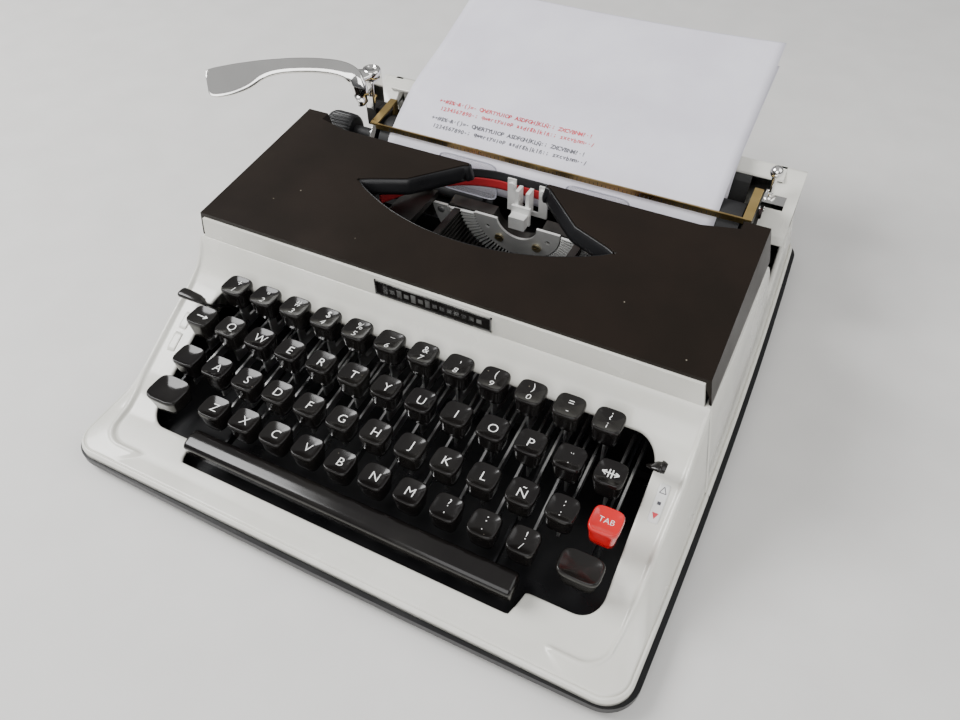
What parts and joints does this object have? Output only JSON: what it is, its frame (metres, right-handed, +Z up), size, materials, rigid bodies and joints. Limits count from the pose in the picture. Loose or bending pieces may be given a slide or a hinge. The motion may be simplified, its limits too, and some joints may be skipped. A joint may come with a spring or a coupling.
{
  "type": "portable typewriter",
  "caption": "Portable manual typewriter: low moulded case, banked keyboard, wedge-shaped ribbon cover, sliding carriage with platen, return lever and a sheet of paper.",
  "frame": {"origin": "on the desk, under the middle of the machine's overall plan with its paper and return lever", "axes": "+X to the typist's right along the carriage, +Y from the keyboard to the back, +Z up from the desk"},
  "size_m": [0.366, 0.377, 0.1211],
  "materials": {
    "cream_plastic": "gloss",
    "black_plastic": "gloss",
    "cover_paint": "satin",
    "rubber": "matte",
    "steel": "satin",
    "black_steel": "satin",
    "chrome": "polished",
    "grey_casting": "satin",
    "brass_strip": "satin",
    "ribbon_cloth": "matte",
    "paper": "matte",
    "clear_plastic": "gloss",
    "red_plastic": "gloss",
    "bell_metal": "polished"
  },
  "bodies": {
    "chassis": {"base_tray": "black_plastic", "rubber_feet": "rubber", "case_shell": "cream_plastic", "machine_frame": "black_steel", "lever_pivot_rod": "steel", "carriage_rails": "steel", "margin_bell": "bell_metal", "type_segment": "steel", "segment_plate": "steel", "segment_screws": "steel", "typebars": "steel", "type_guide": "chrome", "ribbon_castings": "grey_casting", "ink_ribbon": "ribbon_cloth", "card_holders": "clear_plastic", "selector_plate": "steel"},
    "ribbon_cover": {"ribbon_cover": "cover_paint", "cover_front_strip": "cream_plastic", "name_plate": "black_plastic"},
    "carriage": {"carriage_frame": "steel", "carriage_cover": "cream_plastic", "paper_table": "black_steel", "feed_rollers": "rubber", "paper_sheet": "paper"},
    "platen": {"platen_roller": "rubber", "platen_knob": "black_plastic", "platen_ratchet": "steel"},
    "paper_bail": {"paper_bail": "brass_strip"},
    "return_lever": {"return_lever": "chrome"},
    "paper_release": {"paper_release_lever": "steel"},
    "carriage_release": {"carriage_release_lever": "chrome"},
    "margin_stop_left": {"margin_stop_left": "steel"},
    "margin_stop_right": {"margin_stop_right": "steel"},
    "mainspring_drum": {"mainspring_drum": "steel"},
    "ribbon_vibrator": {"ribbon_vibrator": "chrome"},
    "spool_left": {"ribbon_spool_left": "black_plastic"},
    "spool_right": {"ribbon_spool_right": "black_plastic"},
    "shift": {"shift_keys": "black_plastic", "shift_levers": "steel"},
    "space_bar": {"space_bar": "black_plastic", "space_bar_levers": "steel"},
    "colour_lever": {"colour_lever": "black_plastic"},
    "touch_lever": {"touch_lever": "black_plastic"},
    "key_row_1": {"key_caps_row_1": "black_plastic", "key_levers_row_1": "steel"},
    "key_row_2": {"key_caps_row_2": "black_plastic", "key_levers_row_2": "steel"},
    "key_row_3": {"key_caps_row_3": "black_plastic", "key_levers_row_3": "steel"},
    "key_row_4": {"key_caps_row_4": "black_plastic", "key_levers_row_4": "steel"},
    "shift_lock": {"shift_lock_key": "black_plastic", "shift_lock_lever": "steel"},
    "backspace": {"backspace_key": "black_plastic", "backspace_lever": "steel"},
    "margin_release": {"margin_release_key": "black_plastic", "margin_release_lever": "steel"},
    "tab": {"tab_key": "red_plastic", "tab_lever": "steel"}
  },
  "joints": [
    {"name": "carriage_travel", "type": "slide", "parent": "chassis", "child": "carriage", "axis": [1, 0, 0], "range_m": [-0.116, 0.103]},
    {"name": "platen_turn", "type": "hinge", "parent": "carriage", "child": "platen", "pos_m": [0.026, 0.0736, 0.063], "axis": [1, 0, 0], "continuous": true},
    {"name": "paper_bail_swing", "type": "hinge", "parent": "carriage", "child": "paper_bail", "pos_m": [0.026, 0.0846, 0.07], "axis": [-1, 0, 0], "range_deg": [0, 50], "stiffness_Nm_per_rad": 0.02, "springref_deg": -34.38},
    {"name": "return_lever_swing", "type": "hinge", "parent": "carriage", "child": "return_lever", "pos_m": [-0.098, 0.0831, 0.1], "axis": [0, 0, 1], "range_deg": [0, 25], "stiffness_Nm_per_rad": 0.1, "springref_deg": -17.19},
    {"name": "paper_release_swing", "type": "hinge", "parent": "carriage", "child": "paper_release", "pos_m": [0.155, 0.0816, 0.076], "axis": [1, 0, 0], "range_deg": [0, 14]},
    {"name": "carriage_release_swing", "type": "hinge", "parent": "carriage", "child": "carriage_release", "pos_m": [0.155, 0.0921, 0.0795], "axis": [1, 0, 0], "range_deg": [0, 12], "stiffness_Nm_per_rad": 0.02, "springref_deg": -22.92},
    {"name": "margin_stop_left_slide", "type": "slide", "parent": "carriage", "child": "margin_stop_left", "axis": [1, 0, 0], "range_m": [0, 0.08]},
    {"name": "margin_stop_right_slide", "type": "slide", "parent": "carriage", "child": "margin_stop_right", "axis": [1, 0, 0], "range_m": [-0.08, 0]},
    {"name": "mainspring_drum_turn", "type": "hinge", "parent": "chassis", "child": "mainspring_drum", "pos_m": [-0.069, 0.1116, 0.022], "axis": [0, 1, 0], "range_deg": [-420, 470]},
    {"name": "ribbon_cover_swing", "type": "hinge", "parent": "chassis", "child": "ribbon_cover", "pos_m": [0.026, 0.0331, 0.09], "axis": [1, 0, 0], "range_deg": [-60, 0]},
    {"name": "ribbon_vibrator_lift", "type": "slide", "parent": "chassis", "child": "ribbon_vibrator", "axis": [0, 0, 1], "range_m": [0, 0.008], "stiffness_N_per_m": 40, "springref_m": -0.004},
    {"name": "ribbon_spool_left_turn", "type": "hinge", "parent": "chassis", "child": "spool_left", "pos_m": [-0.071, 0.0046, 0.066], "axis": [0, 0, 1], "continuous": true},
    {"name": "ribbon_spool_right_turn", "type": "hinge", "parent": "chassis", "child": "spool_right", "pos_m": [0.123, 0.0046, 0.066], "axis": [0, 0, 1], "continuous": true},
    {"name": "colour_lever_swing", "type": "hinge", "parent": "chassis", "child": "colour_lever", "pos_m": [0.1526, -0.0764, 0.026], "axis": [1, 0, 0], "range_deg": [0, 6]},
    {"name": "touch_lever_swing", "type": "hinge", "parent": "chassis", "child": "touch_lever", "pos_m": [-0.0969, -0.0764, 0.026], "axis": [1, 0, 0], "range_deg": [0, 6]},
    {"name": "key_row_1_press", "type": "hinge", "parent": "chassis", "child": "key_row_1", "pos_m": [0.026, -0.0304, 0.036], "axis": [1, 0, 0], "range_deg": [0, 7.43], "stiffness_Nm_per_rad": 0.6, "springref_deg": -34.38},
    {"name": "key_row_2_press", "type": "hinge", "parent": "chassis", "child": "key_row_2", "pos_m": [0.026, -0.0304, 0.036], "axis": [1, 0, 0], "range_deg": [0, 5.55], "stiffness_Nm_per_rad": 0.6, "springref_deg": -34.38},
    {"name": "key_row_3_press", "type": "hinge", "parent": "chassis", "child": "key_row_3", "pos_m": [0.026, -0.0304, 0.036], "axis": [1, 0, 0], "range_deg": [0, 4.39], "stiffness_Nm_per_rad": 0.6, "springref_deg": -34.38},
    {"name": "key_row_4_press", "type": "hinge", "parent": "chassis", "child": "key_row_4", "pos_m": [0.026, -0.0304, 0.036], "axis": [1, 0, 0], "range_deg": [0, 3.77], "stiffness_Nm_per_rad": 0.6, "springref_deg": -34.38},
    {"name": "shift_press", "type": "hinge", "parent": "chassis", "child": "shift", "pos_m": [0.026, -0.0304, 0.036], "axis": [1, 0, 0], "range_deg": [0, 3.46], "stiffness_Nm_per_rad": 0.3, "springref_deg": -34.38},
    {"name": "space_bar_press", "type": "hinge", "parent": "chassis", "child": "space_bar", "pos_m": [0.026, -0.0304, 0.036], "axis": [1, 0, 0], "range_deg": [0, 2.65], "stiffness_Nm_per_rad": 0.3, "springref_deg": -34.38},
    {"name": "shift_lock_press", "type": "hinge", "parent": "chassis", "child": "shift_lock", "pos_m": [0.026, -0.0304, 0.036], "axis": [1, 0, 0], "range_deg": [0, 4.39], "stiffness_Nm_per_rad": 0.08, "springref_deg": -28.65},
    {"name": "backspace_press", "type": "hinge", "parent": "chassis", "child": "backspace", "pos_m": [0.026, -0.0304, 0.036], "axis": [1, 0, 0], "range_deg": [0, 5.55], "stiffness_Nm_per_rad": 0.08, "springref_deg": -28.65},
    {"name": "margin_release_press", "type": "hinge", "parent": "chassis", "child": "margin_release", "pos_m": [0.026, -0.0304, 0.036], "axis": [1, 0, 0], "range_deg": [0, 5.55], "stiffness_Nm_per_rad": 0.08, "springref_deg": -28.65},
    {"name": "tab_press", "type": "hinge", "parent": "chassis", "child": "tab", "pos_m": [0.026, -0.0304, 0.036], "axis": [1, 0, 0], "range_deg": [0, 4.32], "stiffness_Nm_per_rad": 0.08, "springref_deg": -28.65}
  ],
  "couplings": [
    {"joint": "mainspring_drum_turn", "follows": "carriage_travel", "rad_per_m": -70},
    {"joint": "ribbon_spool_right_turn", "follows": "ribbon_spool_left_turn", "ratio": 1}
  ]
}
